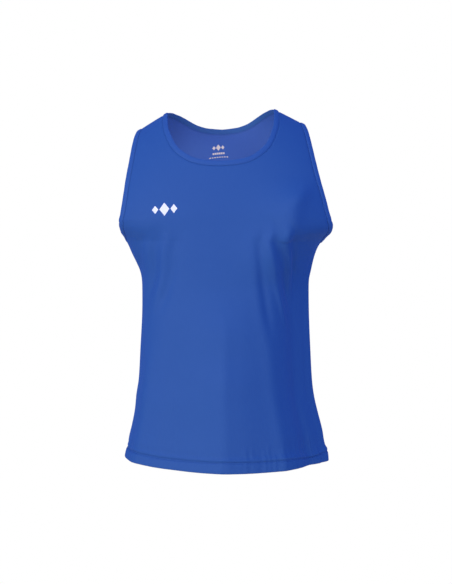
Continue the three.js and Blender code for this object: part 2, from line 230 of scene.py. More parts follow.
SHOULDER = ShoulderLine()
LEAN = Lean()
CORNER = HemCorner()
HEM_PULLS = (
    Pull(height=-1.3, place=HEM_DEPTH - 0.8, width=1.7),  # drawn in by the stitching
    Pull(height=1.5, place=HEM_DEPTH + 4.2, width=2.6),  # puffed above it
)
SECTIONS = (
    Section(z=-655.5, half=197.5, shift=2, front=127, back=121, square=2.2),
    Section(z=-643, half=195.5, shift=3, front=125.5, back=119, square=2.2),
    Section(z=-636, half=193.1, shift=3.8, front=124.5, back=118, square=2.2),
    Section(z=-621, half=190, shift=1.8, front=123, back=116, square=2.2),
    Section(z=-597, half=185.1, shift=2.6, front=121, back=114, square=2.25),
    Section(z=-566, half=178, shift=1.6, front=119, back=111, square=2.3),
    Section(z=-535, half=172.7, shift=-0.5, front=117.5, back=109, square=2.35),
    Section(z=-504, half=168.3, shift=-0.3, front=116.5, back=107, square=2.35),
    Section(z=-441, half=164.8, shift=-0.3, front=115, back=105, square=2.4),
    Section(z=-379, half=162, shift=0, front=114.5, back=105, square=2.4),
    Section(z=-332, half=161.5, shift=-0.2, front=115, back=107, square=2.4),
    Section(z=-309, half=162.4, shift=-0.4, front=116, back=109, square=2.4),
    Section(z=-293, half=166, shift=-0.6, front=116.5, back=110, square=2.4),
    Section(z=-277, half=171.3, shift=-2.4, front=117, back=111, square=2.4),
    Section(z=-262, half=177, shift=-4, front=117, back=112, square=2.45),
    Section(z=-248, half=182.8, shift=-4.2, front=117, back=112.5, square=2.5),
    Section(z=-240, half=187.6, shift=-3.4, front=117, back=112.5, square=2.5),
    Section(z=-232, half=194.5, shift=-0.8, front=117, back=113, square=2.6),
    Section(z=-224, half=205.8, shift=1.6, front=117, back=113, square=2.6),
    Section(z=-212, half=218.6, shift=1.5, front=117, back=113, square=2.6),
    Section(z=-200, half=225, shift=0, front=117, back=113, square=2.6),
)

FRONT_ARMHOLE = (
    SeamPlace(0.9, -238),
    SeamPlace(0.8, -232.5),
    SeamPlace(0.7, -224),
    SeamPlace(0.63, -213),
    SeamPlace(0.585, -199),
    SeamPlace(0.556, -173),
    SeamPlace(0.537, -143),
    SeamPlace(0.528, -113),
    SeamPlace(0.525, -82),
    SeamPlace(0.525, -50),
    SeamPlace(0.522, -31),
)
BACK_ARMHOLE = (
    SeamPlace(0.9, -238),
    SeamPlace(0.8, -233),
    SeamPlace(0.7, -225.5),
    SeamPlace(0.62, -214),
    SeamPlace(0.57, -197),
    SeamPlace(0.535, -173),
    SeamPlace(0.514, -143),
    SeamPlace(0.501, -113),
    SeamPlace(0.496, -82),
    SeamPlace(0.497, -50),
    SeamPlace(0.501, -31),
)
FRONT_NECK = (
    NeckPlace(0, -100),
    NeckPlace(23, -98.8),
    NeckPlace(45, -95),
    NeckPlace(66, -86.5),
    NeckPlace(85, -72),
    NeckPlace(97, -56),
    NeckPlace(105.5, -36),
    NeckPlace(111, -15),
)
BACK_NECK = (
    NeckPlace(0, -15.5),
    NeckPlace(25, -13.5),
    NeckPlace(42, -10.3),
    NeckPlace(59, -4.2),
    NeckPlace(75, 4.4),
    NeckPlace(89, 11.4),
    NeckPlace(101, 14.7),
)

# The largest folds, which the solids have as well.
FRONT_FOLDS = (
    Fold(0.64, -205, 0.69, -670, width=56, height=-26, open=True),
    Fold(0.42, -110, 0.37, -330, width=36, height=11, bow=-0.08),
    Fold(0.48, -125, 0.44, -270, width=15, height=6, bow=-0.12),
    Fold(0.16, -205, 0.37, -670, width=14, height=3, bow=0.05, open=True),
    Fold(0, -320, -0.01, -670, width=50, height=12, open=True),
    Fold(0, -450, -0.01, -670, width=45, height=5, open=True),
    Fold(0.74, -520, 0.8, -670, width=16, height=2.5, open=True),
    Fold(-0.25, -205, -0.53, -390, width=11, height=-4),
    Fold(-0.3, -212, -0.6, -380, width=10, height=2.5),
    Fold(-0.34, -200, -0.7, -368, width=11, height=-4.5),
    Fold(-0.44, -215, -0.84, -305, width=11, height=-3),
    Fold(-0.35, -380, -0.32, -670, width=20, height=-3, open=True),
    Fold(-0.6, -420, -0.66, -670, width=20, height=4, open=True),
)
BACK_FOLDS = (
    Fold(-0.2, -262, -0.34, -670, width=22, height=-6.5, bow=0.03, open=True),
    Fold(0.26, -248, 0.31, -670, width=22, height=-6, bow=0.02, open=True),
    Fold(0.02, -330, -0.04, -670, width=24, height=5, bow=0.01, open=True),
    Fold(0.34, -208, 0.8, -345, width=13, height=-5),
    Fold(-0.36, -203, -0.78, -360, width=13, height=-5),
    Fold(0.62, -400, 0.6, -670, width=20, height=5, open=True),
    Fold(-0.64, -430, -0.62, -670, width=20, height=4.5, open=True),
    Fold(-0.45, -215, -0.82, -300, width=12, height=-4),
)

# Finer folds, which the solids leave to the cloth: the streaks that fan out from the chest.
FRONT_STREAKS = (
    Fold(0.205, -190, 0.345, -440, width=8.5, height=-4.8),
    Fold(0.2, -190, 0.55, -425, width=7, height=4),
    Fold(0.215, -190, 0.655, -380, width=8, height=-4.5),
    Fold(0.265, -190, 0.7, -360, width=7, height=4),
    Fold(0.26, -190, 0.72, -325, width=7, height=-4),
    Fold(0.005, -355, -0.01, -670, width=11, height=2.2, open=True),
)
BACK_STREAKS = (
    Fold(0.3, -200, 0.62, -395, width=8, height=2.6),
    Fold(0.42, -212, 0.78, -318, width=7, height=-2.4),
    Fold(-0.28, -198, -0.56, -420, width=8, height=2.8),
    Fold(-0.4, -210, -0.8, -330, width=7, height=2.2),
    Fold(-0.06, -150, -0.24, -330, width=9, height=-1.8),
)

FRONT_PUCKERS = (
    Puckers(start=-0.9, end=0.1, spacing=0.05, height=0.35),
    Puckers(start=0.1, end=0.86, spacing=0.037, height=1.25),
)
BACK_PUCKERS = (
    Puckers(start=-0.86, end=-0.3, spacing=0.042, height=0.6),
    Puckers(start=-0.2, end=0.88, spacing=0.05, height=0.4),
)

FOLD_FADE = 0.3  # share of a fold's length over which it rises or dies away
SEAM_STILL = 0.88  # folds die away between this turn and the side seam
GIRTH_SHARE = 0.79  # a quarter of a section's girth, as a share of its half width plus its depth
RIGHT_ANGLE = math.pi / 2
SHOULDER_LEVEL = 2  # level of the shoulder seam
NUDGE = 0.004  # step in turn and level for slopes
FINE_STEPS = 24  # steps between two given places of a seam line
SEAM_STEPS = (0.22, 0.55)  # places of the two steps close to a seam, in even steps
PASSES = 12  # rounds in which a level is found
TINY = 1e-12
WITHIN = 0.001  # keeps a place inside the last cell of a table

# ---------------------------------------------------------------- small tools


def lerp(start: Array, end: Array, share: Array) -> Array:
    """Returns the value at a share of the way from start to end."""
    return start + (end - start) * share


def smoothstep(value: Array, low: float, high: float) -> Array:
    """Returns 0 below low, 1 above high, and a soft step between them."""
    share = np.clip((value - low) / (high - low), 0, 1)
    return share * share * (3 - 2 * share)


def rounded(angle: Array, power: Array) -> tuple[Array, Array]:
    """Finds a point of a unit curve between an ellipse and a square.

    Args:
        angle: angle from the curve's deepest point, in radians.
        power: 2 for an ellipse, and more for a boxier curve.

    Returns:
        The point's place across and its depth.
    """
    across, deep = np.sin(angle), np.cos(angle)
    size = (np.abs(across) ** power + np.abs(deep) ** power) ** (1 / power)
    return across / size, deep / size


def angle_of(share: Array, power: Array) -> Array:
    """Returns the angle at which rounded() gives that share across."""
    part = np.clip(share, 0, 1) ** power
    ratio = (part / np.maximum(1 - part, TINY)) ** (1 / power)
    return np.where(part >= 1, RIGHT_ANGLE, np.arctan(ratio))


def hermite(start: Array, end: Array, start_slope: Array, end_slope: Array, t: Array) -> Array:
    """Finds a value of the cubic with given end values and end slopes.

    Args:
        start: value at 0.
        end: value at 1.
        start_slope: slope at 0.
        end_slope: slope at 1.
        t: where to find the value, from 0 to 1.

    Returns:
        The value at t.
    """
    squared, cubed = t * t, t * t * t
    return (
        (2 * cubed - 3 * squared + 1) * start
        + (cubed - 2 * squared + t) * start_slope
        + (3 * squared - 2 * cubed) * end
        + (cubed - squared) * end_slope
    )


def read_table(column: str, z: Array) -> Array:
    """Reads a column of SECTIONS smoothly at heights between its rows.

    Args:
        column: name of the column.
        z: the heights.

    Returns:
        The column's value at each height.
    """
    heights = np.array([section.z for section in SECTIONS], float)
    values = np.array([getattr(section, column) for section in SECTIONS], float)
    row = np.searchsorted(heights[1:-1], z, side="left")
    before, after = np.maximum(row - 1, 0), np.minimum(row + 2, len(SECTIONS) - 1)
    step = heights[row + 1] - heights[row]
    low_slope = (values[row + 1] - values[before]) / (heights[row + 1] - heights[before]) * step
    high_slope = (values[after] - values[row]) / (heights[after] - heights[row]) * step
    t = np.clip((z - heights[row]) / step, 0, 1)
    return hermite(values[row], values[row + 1], low_slope, high_slope, t)


def unit(vectors: Array) -> Array:
    """Returns the vectors at length 1."""
    return vectors / np.linalg.norm(vectors, axis=-1, keepdims=True)


def lengths_along(points: Array) -> Array:
    """Returns how far along a line each of its points lies."""
    return np.concatenate([[0], np.cumsum(np.linalg.norm(np.diff(points, axis=0), axis=1))])


def level_below(z: Array) -> Array:
    """Returns the level of a height under the shoulder arch."""
    return (z - HEM_LEVEL) / BODY_HEIGHT


def mirrored(places: Array) -> Array:
    """Returns places on the other half of the panel."""
    return places * np.array([-1.0, 1.0])


def hem_relief(height: Array) -> Array:
    """Returns how far the cloth stands out at a height above the bottom edge, next to the hem stitching."""
    return sum(pull.height * np.exp(-(((height - pull.place) / pull.width) ** 2)) for pull in HEM_PULLS)


def outer_layer(height: float) -> float:
    """Returns how far the hem's outer layer lies from the middle, at a height above the bottom edge."""
    return float(HEM_LAYER * (1 - smoothstep(np.float64(height), *HEM_JOIN)))


def shares_between(count: int, fine_start: bool = False, fine_end: bool = False) -> Array:
    """Divides a stretch evenly, with two more steps close to a seam at either end.

    Args:
        count: number of even steps.
        fine_start: adds steps at the start.
        fine_end: adds steps at the end.

    Returns:
        The shares from 0 to 1.
    """
    shares = list(np.linspace(0, 1, count + 1))
    close = [step / count for step in SEAM_STEPS]
    if fine_start:
        shares += close
    if fine_end:
        shares += [1 - part for part in close]
    return np.array(sorted(shares))


# ---------------------------------------------------------------- the worn form


@dataclass
class Form:
    """The form that one panel has when the vest is worn, in millimetres.

    turn runs across the panel from -1 to 1 at the side seams. level runs from 0 at the hem to 1 at the
    chest, and on over the shoulder arch to 2 at the shoulder seam. roll is the power of the arch's curve,
    and chest_top is the height at which the row under the neck meets the armhole seam.
    """

    side: Side
    roll: float
    neck: tuple[NeckPlace, ...]
    armhole: tuple[SeamPlace, ...]
    chest_top: float
    folds: tuple[Fold, ...]
    puckers: tuple[Puckers, ...]

    def smooth(self, turn: Array, level: Array) -> Array:
        """Finds points of the form without folds.

        Args:
            turn: the points' places across the panel.
            level: their places up the panel.

        Returns:
            The points.
        """
        rise = np.maximum(level - 1, 0) * RIGHT_ANGLE
        lift_up, lift_deep = rounded(rise, self.roll)
        hung = lerp(HEM_LEVEL, CHEST_LEVEL, np.minimum(level, 1))
        half = lerp(read_table("half", hung), SHOULDER_HALF, np.sin(rise) ** 2)
        across, deep = rounded(turn * RIGHT_ANGLE, read_table("square", hung))
        x = half * across
        sag = HEM_DROP * np.maximum(np.cos(turn * RIGHT_ANGLE), 0) ** HEM_ROUNDING
        corner = CORNER.drop * smoothstep(turn, CORNER.start, CORNER.full)
        below = hung - (sag + HEM_TILT * x + corner) * np.maximum(1 - level, 0)
        z = np.where(level > 1, lerp(CHEST_LEVEL, SHOULDER.height(x), lift_up), below)
        y = self.side.value * read_table(self.side.name.lower(), hung) * deep * lift_deep
        leaning = smoothstep(z, LEAN.start, LEAN.full)
        out = x / LEAN.reach
        shift = read_table("shift", hung) - leaning * (LEAN.slope * (z - LEAN.start) + LEAN.outer * out**2)
        return np.stack([x + shift, y, z + leaning * (LEAN.tilt * x + LEAN.lift * out**3)], axis=-1)

    def outward(self, shape: Shape, turn: Array, level: Array) -> Array:
        """Finds the outward directions of a shape.

        Args:
            shape: smooth or cloth.
            turn: places across the panel.
            level: places up the panel.

        Returns:
            The direction at each place.
        """
        across = shape(turn + NUDGE, level) - shape(turn - NUDGE, level)
        up = shape(turn, level + NUDGE) - shape(turn, level - NUDGE)
        return unit(np.cross(across, up) * -self.side.value)

    def fold_height(self, turn: Array, z: Array) -> Array:
        """Finds how far the folds move the cloth out of the smooth form.

        Args:
            turn: places across the panel.
            z: their heights.

        Returns:
            The move outwards at each place, negative in a trough.
        """
        still = 1 - smoothstep(np.abs(turn), SEAM_STILL, 1)
        quarter_girth = GIRTH_SHARE * (read_table("half", z) + read_table(self.side.name.lower(), z))
        moved = np.zeros_like(turn)
        for fold in self.folds + tuple(fold for run in self.puckers for fold in run.folds()):
            fall = fold.top_z - fold.end_z
            down = (fold.top_z - z) / fall
            run_out = 1.0 if fold.open else smoothstep(1 - down, 0, FOLD_FADE)
            slant = np.cos(np.arctan2((fold.end_turn - fold.top_turn) * quarter_girth, fall))
            middle = lerp(fold.top_turn, fold.end_turn, down) + fold.bow * np.sin(down * math.pi)
            away = (turn - middle) * quarter_girth * slant
            rises = smoothstep(down, 0, FOLD_FADE)
            moved += fold.height * rises * run_out * np.exp(-((away / fold.width) ** 2))
        return moved * still

    def cloth(self, turn: Array, level: Array) -> Array:
        """Finds points of the worn form with its folds.

        Args:
            turn: the points' places across the panel.
            level: their places up the panel.

        Returns:
            The points.
        """
        points = self.smooth(turn, level)
        direction = self.outward(self.smooth, turn, level)
        return points + direction * self.fold_height(turn, points[..., 2])[..., None]

    def locate(self, x: Array, z: Array) -> Array:
        """Finds places on the form before it leans.

        Args:
            x: distances from the centre.
            z: heights.

        Returns:
            The turn and level of each place.
        """
        share = (z - CHEST_LEVEL) / (SHOULDER.height(x) - CHEST_LEVEL)
        rise = np.where(share > 0, angle_of(np.maximum(share, 0), self.roll), 0)
        hung = np.minimum(z, CHEST_LEVEL)
        half = lerp(read_table("half", hung), SHOULDER_HALF, np.sin(rise) ** 2)
        turn = angle_of(x / half, read_table("square", hung)) / RIGHT_ANGLE
        level = np.where(share > 0, 1 + rise / RIGHT_ANGLE, level_below(z))
        return np.stack([turn, level], axis=-1)

    def level_at(self, turn: Array, z: Array) -> Array:
        """Finds the levels at which the form has given heights.

        Args:
            turn: places across the panel.
            z: the height at each.

        Returns:
            The level of each.
        """
        chest = SECTIONS[-1]
        share, _ = rounded(turn * RIGHT_ANGLE, chest.square)
        level = np.ones_like(turn)
        for _ in range(PASSES):
            half = lerp(chest.half, SHOULDER_HALF, np.sin((level - 1) * RIGHT_ANGLE) ** 2)
            level = self.locate(half * share, z)[..., 1]
        return np.where(z <= CHEST_LEVEL, level_below(z), level)

    def spread_along(self, places: Array, shares: Array) -> Array:
        """Places stations by length along a smooth line through given places.

        Args:
            places: turn and level of each place. The first and the last only steer the line's ends.
            shares: where the stations go, from 0 to 1 of the line's length.

        Returns:
            The turn and level of each station.
        """
        t = np.arange(FINE_STEPS)[:, None] / FINE_STEPS
        fine = []
        for before, start, end, after in zip(places, places[1:], places[2:], places[3:]):
            fine.append(hermite(start, end, (end - before) / 2, (after - start) / 2, t))
        line = np.concatenate([*fine, places[-2:-1]])
        points = self.smooth(line[:, 0], line[:, 1])
        lengths = lengths_along(points)
        wanted = shares * lengths[-1]
        return np.stack([np.interp(wanted, lengths, line[:, i]) for i in (0, 1)], axis=-1)

    def neck_line(self, shares: Array) -> Array:
        """Places stations along the neck seam on the wearer's left, from the centre to the shoulder.

        Args:
            shares: shares of the seam's length.

        Returns:
            The turn and level of each station.
        """
        listed = np.array([self.locate(np.float64(p.x), np.float64(p.z)) for p in self.neck])
        shoulder = self.locate(np.float64(NECK_SIDE), SHOULDER.height(np.float64(NECK_SIDE)))
        beyond = np.array([listed[-1, 0], 2 * SHOULDER_LEVEL - listed[-1, 1]])
        return self.spread_along(np.array([mirrored(listed[1]), *listed, shoulder, beyond]), shares)

    def armhole_line(self, chest_shares: Array, strap_shares: Array) -> Array:
        """Places stations along the armhole seam on the wearer's left, from the underarm to the shoulder.

        Args:
            chest_shares: shares from the underarm to where the row under the neck meets the seam.
            strap_shares: shares from there to the shoulder seam.

        Returns:
            The turn and level of each station.
        """
        turns = np.array([place.turn for place in self.armhole])
        heights = np.array([float(place.z) for place in self.armhole])
        listed = np.stack([turns, self.level_at(turns, heights)], axis=-1)
        before = np.array([2 - listed[0, 0], listed[0, 1]])
        underarm = np.array([1.0, level_below(UNDERARM_LEVEL)])
        shoulder = self.locate(np.float64(ARM_SIDE), SHOULDER.height(np.float64(ARM_SIDE)))
        beyond = np.array([listed[-1, 0], 2 * SHOULDER_LEVEL - listed[-1, 1]])
        places = np.array([before, underarm, *listed, shoulder, beyond])
        split = int(np.argmax(heights >= self.chest_top)) + 1
        chest = self.spread_along(places[: split + 3], chest_shares)
        return np.concatenate([chest[:-1], self.spread_along(places[split:], strap_shares)])


FRONT_FORM = Form(
    Side.FRONT,
    roll=1.55,
    neck=FRONT_NECK,
    armhole=FRONT_ARMHOLE,
    chest_top=-173.0,
    folds=FRONT_FOLDS + FRONT_STREAKS,
    puckers=FRONT_PUCKERS,
)
BACK_FORM = Form(
    Side.BACK,
    roll=3.0,
    neck=BACK_NECK,
    armhole=BACK_ARMHOLE,
    chest_top=-113.0,
    folds=BACK_FOLDS + BACK_STREAKS,
    puckers=BACK_PUCKERS,
)

# ---------------------------------------------------------------- making and finishing pieces


CLOTH_ANGLE = 75.0  # edges of cloth that are sharper than this stay hard, in degrees
FILM_ANGLE = 40.0
ROUND_ANGLE = 180.0


def only(piece: bpy.types.Object) -> None:
    """Selects one piece alone and makes it active, because operators act on all that is selected.

    Args:
        piece: the piece.
    """
    for other in bpy.context.view_layer.objects:
        other.select_set(False)
    piece.select_set(True)
    bpy.context.view_layer.objects.active = piece


def piece_from(
    name: str, points: Array, cells: list[tuple[int, ...]], uv: Array | None = None
) -> bpy.types.Object:
    """Makes a piece of a sheet's points and cells.

    Args:
        name: name of the piece.
        points: places in millimetres.
        cells: corners of each cell, counterclockwise as seen from outside.
        uv: place of each point on the flat cloth, in millimetres.

    Returns:
        The new object, in metres.
    """
    mesh = bpy.data.meshes.new(name)
    mesh.from_pydata((points * MM).tolist(), [], cells)
    if uv is not None:
        corners = np.empty(len(mesh.loops), np.int32)
        mesh.loops.foreach_get("vertex_index", corners)
        layer = mesh.uv_layers.new(name="cloth")
        layer.data.foreach_set("uv", (uv * MM)[corners].astype(np.float32).ravel())
    piece = bpy.data.objects.new(name, mesh)
    bpy.context.scene.collection.objects.link(piece)
    return piece


def finish_with(piece: bpy.types.Object, kind: str, **settings: object) -> None:
    """Adds a modifier to a piece and applies it.

    Args:
        piece: the piece.
        kind: the modifier's type.
        settings: values of its properties.
    """
    only(piece)
    bpy.ops.object.modifier_add(type=kind)
    modifier = piece.modifiers[-1]
    for key, value in settings.items():
        setattr(modifier, key, value)
    bpy.ops.object.modifier_apply(modifier=modifier.name)


def smooth_shading(piece: bpy.types.Object, degrees: float) -> None:
    """Shades a piece smooth, apart from edges sharper than an angle."""
    only(piece)
    bpy.ops.object.shade_smooth_by_angle(angle=math.radians(degrees))


def belongs(piece: bpy.types.Object, nodes: tuple[str, ...] = ()) -> None:
    """Lets a piece ride with the vest, and lets it stand for CAD nodes.

    Args:
        piece: the piece.
        nodes: the CAD nodes that it stands for.
    """
    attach(piece, BODY)
    if nodes:
        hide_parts(*nodes)


def thicken(piece: bpy.types.Object, thickness: float, materials: list[bpy.types.Material]) -> None:
    """Gives a sheet its thickness about its middle. A second material goes on the inside face.

    Args:
        piece: the sheet.
        thickness: in millimetres.
        materials: the outside's material, and the inside's where it differs.
    """
    for material in materials:
        piece.data.materials.append(material)
    finish_with(
        piece,
        "SOLIDIFY",
        thickness=thickness * MM,
        offset=0.0,
        material_offset=len(materials) - 1,
        material_offset_rim=0,
    )


class Held(Enum):
    """How a piece of cloth is held."""

    HUNG = "hung"
    STRETCHED = "stretched"


@dataclass(frozen=True)
class Cut:
    """The flat size that a piece of cloth is cut to, in metres, and its area where it isn't a rectangle."""

    width: float
    length: float
    held: Held
    area: float | None = None

    def declare(self, piece: bpy.types.Object, others: tuple[bpy.types.Object, ...] = ()) -> None:
        """Takes a piece and the pieces on it, and does nothing with them."""


FRONT_CUT = Cut(0.53, 0.75, Held.HUNG, area=0.294)  # with the hem's turn-up
BACK_CUT = Cut(0.522, 0.773, Held.HUNG, area=0.309)
NECK_BAND_CUT = Cut(0.021, 0.74, Held.STRETCHED)  # strips are cut shorter than their seams
ARMHOLE_BAND_CUT = Cut(0.021, 0.63, Held.STRETCHED)

# ---------------------------------------------------------------- finishes


def linear(colour: str) -> tuple[float, float, float, float]:
    """Returns an sRGB hex colour as linear red, green, blue and alpha."""
    parts = [int(colour[i : i + 2], 16) / 255 for i in (1, 3, 5)]
    return (*(part / 12.92 if part <= 0.04045 else ((part + 0.055) / 1.055) ** 2.4 for part in parts), 1.0)


def add_node(
    material: bpy.types.Material | bpy.types.World,
    kind: str,
    settings: dict[str, object] | None = None,
    inputs: dict[str | int, object] | None = None,
) -> bpy.types.Node:
    """Adds a node to a material or a world.

    Args:
        material: the material or the world.
        kind: the node's type.
        settings: values of the node's own properties.
        inputs: a value or another node's output for each input.

    Returns:
        The new node.
    """
    node = material.node_tree.nodes.new(kind)
    for key, value in (settings or {}).items():
        setattr(node, key, value)
    for key, value in (inputs or {}).items():
        if isinstance(value, bpy.types.NodeSocket):
            material.node_tree.links.new(value, node.inputs[key])
        else:
            node.inputs[key].default_value = value
    return node


@dataclass(frozen=True)
class Finish:
    """A finish with a bumpy surface. bump_mm is the depth of the bump, and sheen is that of fine fibres."""

    name: str
    colour: str
    bump_mm: float = 0.1
    bump_strength: float = 0.5
    roughness: float = 0.5
    specular: float = 0.5
    sheen: float = 0.0
    sheen_colour: str = "#9fb6e8"

    def pattern(self, material: bpy.types.Material) -> tuple[object, bpy.types.NodeSocket]:
        """Draws the finish's pattern.

        Args:
            material: the material.

        Returns:
            The colour or the output that gives it, and the output that gives the surface's height.
        """
        raise NotImplementedError

    def make(self) -> bpy.types.Material:
        """Makes the material.

        Returns:
            The material.
        """
        material = bpy.data.materials.new(self.name)
        material.use_nodes = True
        material.node_tree.nodes.clear()
        colour, height = self.pattern(material)
        bump_inputs = {"Height": height, "Distance": self.bump_mm * MM, "Strength": self.bump_strength}
        bump = add_node(material, "ShaderNodeBump", inputs=bump_inputs)
        values = {
            "Base Color": colour,
            "Normal": bump.outputs[0],
            "Roughness": self.roughness,
            "IOR": 1.5,
            "Specular IOR Level": self.specular,
            "Sheen Weight": self.sheen,
            "Sheen Roughness": 0.45,
            "Sheen Tint": linear(self.sheen_colour),
        }
        shader = add_node(material, "ShaderNodeBsdfPrincipled", inputs=values)
        add_node(material, "ShaderNodeOutputMaterial", inputs={"Surface": shader.outputs[0]})
        return material


@dataclass(frozen=True)
class Relief:
    """How the relief of a stitch is made up: the slant of its legs, and the shares of its legs and rows."""

    slant: float
    legs: float
    rows: float


class Loop(Enum):
    """Which side of weft knit shows: the face has upright legs, and the reverse has level arcs."""

    FACE = Relief(slant=1.0, legs=0.55, rows=0.25)
    REVERSE = Relief(slant=0.3, legs=0.25, rows=0.5)


MATH = "ShaderNodeMath"
HALF_LEG = 0.25  # of a wale, which has two legs
HALF = 0.5


@dataclass(frozen=True, kw_only=True)
class KnitFinish(Finish):
    """Weft-knit polyester jersey, piece-dyed: a dense smooth face with a dull, soft gloss.

    wale and course are the widths of one stitch across and along the cloth, in millimetres. A real one of
    28 gauge has wales about 0.9 mm apart. The dye is even: the colour varies only with a faint streak of
    random tone and with painted shade in the stitches' hollows, from the darker hollow colour there to
    colour on their tops.
    """

    low_colour: str
    loop: Loop = Loop.FACE
    wale: float = 0.9
    course: float = 0.7
    streak_width: float = 2.0
    streak_length: float = 50 / 3
    streak_share: float = 0.5
    lowest: float = 0.1  # relief at which the colour is wholly the painted shade of the hollows
    highest: float = 1.1
    bump_mm: float = 0.25
    bump_strength: float = 0.35
    roughness: float = 0.62
    specular: float = 0.22
    sheen: float = 0.15

    def pattern(self, material: bpy.types.Material) -> tuple[object, bpy.types.NodeSocket]:
        """Draws the stitches.

        Args:
            material: the material.

        Returns:
            The outputs that give the colour and the surface's height.
        """
        relief = self.loop.value
        place = add_node(material, "ShaderNodeUVMap", {"uv_map": "cloth"})
        size = (self.wale * MM, self.course * MM, 1.0)
        counted = add_node(
            material, "ShaderNodeVectorMath", {"operation": "DIVIDE"}, {0: place.outputs[0], 1: size}
        )
        parts = add_node(material, "ShaderNodeSeparateXYZ", inputs={0: counted.outputs[0]})
        wale, course = parts.outputs[0], parts.outputs[1]
        zigzag, multiply_add = {"operation": "PINGPONG"}, {"operation": "MULTIPLY_ADD"}
        legs = add_node(material, MATH, zigzag, {0: wale, 1: HALF_LEG}).outputs[0]
        turned = add_node(material, MATH, zigzag, {0: wale, 1: HALF}).outputs[0]
        slant = {0: turned, 1: relief.slant, 2: course}
        slanted = add_node(material, MATH, multiply_add, slant).outputs[0]
        rows = add_node(material, MATH, zigzag, {0: slanted, 1: HALF}).outputs[0]
        legs_share = {0: legs, 1: relief.legs / HALF_LEG}
        raised = add_node(material, MATH, {"operation": "MULTIPLY"}, legs_share).outputs[0]
        rows_share = {0: rows, 1: relief.rows / HALF, 2: raised}
        stitch = add_node(material, MATH, multiply_add, rows_share).outputs[0]
        per_metre = (1 / (self.streak_width * MM), 1 / (self.streak_length * MM), 1.0)
        stretched = add_node(
            material, "ShaderNodeMapping", inputs={"Vector": place.outputs[0], "Scale": per_metre}
        )
        noise_inputs = {"Vector": stretched.outputs[0], "Scale": 1.0, "Detail": 2.0}
        streak = add_node(material, "ShaderNodeTexNoise", inputs=noise_inputs)
        depth_inputs = {0: streak.outputs[0], 1: self.streak_share, 2: stitch}
        depth = add_node(material, MATH, multiply_add, depth_inputs)
        # painted shade: the colour darkens to the hollow colour where the stitch relief is low, with the
        # streak's random tone added
        range_inputs = {"Value": depth.outputs[0], "From Min": self.lowest, "From Max": self.highest}
        share = add_node(material, "ShaderNodeMapRange", {"clamp": True}, range_inputs)
        ends = {0: share.outputs[0], 6: linear(self.low_colour), 7: linear(self.colour)}
        colour = add_node(material, "ShaderNodeMix", {"data_type": "RGBA"}, ends)
        return colour.outputs[2], stitch


WAVE_LENGTH = 0.314  # about the length of a wave texture's waves at scale 1, in metres


@dataclass(frozen=True)
class ThreadFinish(Finish):
    """Textured polyester sewing thread, dyed to the cloth and darkened by painted shade of its groove: two
    plies, a little glossier than the knit.
    """

    name: str = "shade_darkened_polyester_thread"
    # darker than the cloth: painted shade of the stitching groove
    colour: str = "#23468a"
    twist: float = 0.5  # length of one turn of the plies, in millimetres
    specular: float = 0.4

    def pattern(self, material: bpy.types.Material) -> tuple[object, bpy.types.NodeSocket]:
        """Draws the plies.

        Args:
            material: the material.

        Returns:
            The colour, and the output that gives the surface's height.
        """
        place = add_node(material, "ShaderNodeTexCoord").outputs["Object"]
        settings = {"wave_type": "BANDS", "bands_direction": "DIAGONAL"}
        inputs = {"Vector": place, "Scale": WAVE_LENGTH / (self.twist * MM), "Distortion": 0.4}
        return linear(self.colour), add_node(material, "ShaderNodeTexWave", settings, inputs).outputs[1]


@dataclass(frozen=True)
class GrainFinish(Finish):
    """A finish of one colour with a fine even grain, whose size is in millimetres."""

    grain: float = 1.0

    def pattern(self, material: bpy.types.Material) -> tuple[object, bpy.types.NodeSocket]:
        """Draws the grain.

        Args:
            material: the material.

        Returns:
            The colour, and the output that gives the surface's height.
        """
        place = add_node(material, "ShaderNodeTexCoord").outputs["Object"]
        inputs = {"Vector": place, "Scale": 1 / (self.grain * MM)}
        return linear(self.colour), add_node(material, "ShaderNodeTexNoise", inputs=inputs).outputs[0]


@dataclass(frozen=True)
class FilmFinish(GrainFinish):
    """Heat-transfer print: a thin film of polyurethane ink, matt, with the knit just telling through it."""

    grain: float = 0.9  # the knit's stitches under the film
    bump_mm: float = 0.05
    bump_strength: float = 0.4
    specular: float = 0.3


@dataclass(frozen=True)
class FloorFinish(GrainFinish):
    """Studio floor of smooth matt cream paint, with the faint mottle of a roller.

    The cream makes up for the bluish fill, so that the floor looks pale grey.
    """

    name: str = "matt_cream_floor_paint"
    colour: str = "#f5e2b2"
    grain: float = 100 / 9
    bump_strength: float = 0.1
    roughness: float = 0.9


# ---------------------------------------------------------------- the pieces


@dataclass
class Seam:
    """Lines along which the cloth dips where pieces are sewn together, in millimetres."""

    lines: list[Array]
    depth: float = 1.0
    width: float = 1.7

    def dip(self, points: Array) -> Array:
        """Finds how far points sink towards the inside.

        Args:
            points: the points.

        Returns:
            The depth at each.
        """
        line = np.concatenate(self.lines)
        tree = KDTree(len(line))
        for i, point in enumerate(line):
            tree.insert(Vector(point), i)
        tree.balance()
        away = np.array([tree.find(Vector(point))[2] for point in points])
        return self.depth * np.exp(-((away / self.width) ** 2))


@dataclass
class Rows:
    """The places of a panel, gathered row by row."""

    places: list[Array] = field(default_factory=list)
    layers: list[Array] = field(default_factory=list)
    count: int = 0

    def add(self, row: Array, layer: float = 0.0) -> Array:
        """Adds a row of places.

        Args:
            row: turn and level of each place.
            layer: how far the row lies from the middle of the cloth, in millimetres.

        Returns:
            The places' numbers.
        """
        self.places.append(row)
        self.layers.append(np.full(len(row), layer))
        self.count += len(row)
        return np.arange(self.count - len(row), self.count)


